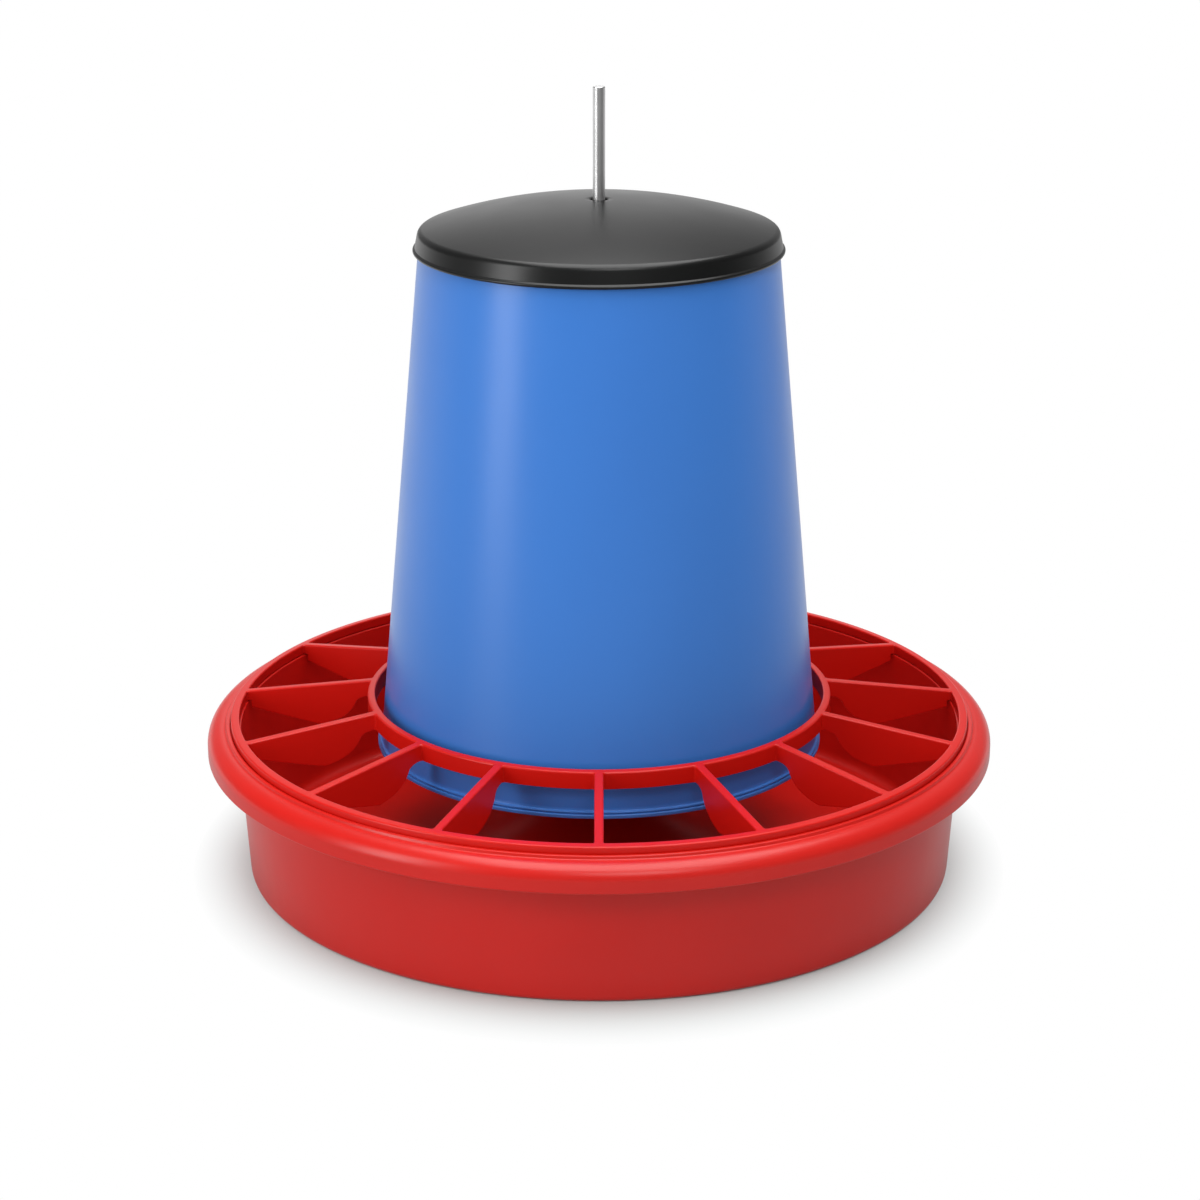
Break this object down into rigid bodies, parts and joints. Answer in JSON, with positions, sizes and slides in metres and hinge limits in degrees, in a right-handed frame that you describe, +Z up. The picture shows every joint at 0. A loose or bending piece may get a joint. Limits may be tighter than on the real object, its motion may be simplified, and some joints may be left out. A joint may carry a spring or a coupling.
{
  "type": "poultry feeder",
  "caption": "Round poultry feeder: a tapered hopper with a domed lid over a rimmed pan with a radial feeding grid, on a central steel rod.",
  "frame": {"origin": "centre of the pan's underside, on the surface the feeder stands on", "axes": "+Z up along the rod; -Y towards the camera of the picture, with one vane pointing that way"},
  "size_m": [0.4, 0.4, 0.3979],
  "materials": {
    "pan_plastic": "glossy moulded red plastic",
    "grid_plastic": "glossy moulded red plastic, slightly cooler than the pan",
    "hopper_plastic": "semi-gloss moulded blue plastic",
    "lid_plastic": "satin black moulded plastic with a fine grain",
    "rod_steel": "bright drawn steel bar",
    "zinc_steel": "zinc plated"
  },
  "bodies": {
    "feeder": {"pan": "pan_plastic", "grid": "grid_plastic", "hopper": "hopper_plastic", "hanger_rod": "rod_steel", "pan_washer_upper": "zinc_steel", "pan_washer_lower": "zinc_steel", "pan_nut_upper": "zinc_steel", "pan_nut_lower": "zinc_steel", "hopper_washer": "zinc_steel", "hopper_clip": "zinc_steel"},
    "lid": {"lid": "lid_plastic"}
  },
  "joints": [
    {"name": "lid_lift", "type": "slide", "parent": "feeder", "child": "lid", "axis": [0, 0, 1], "range_m": [0, 0.05]}
  ]
}
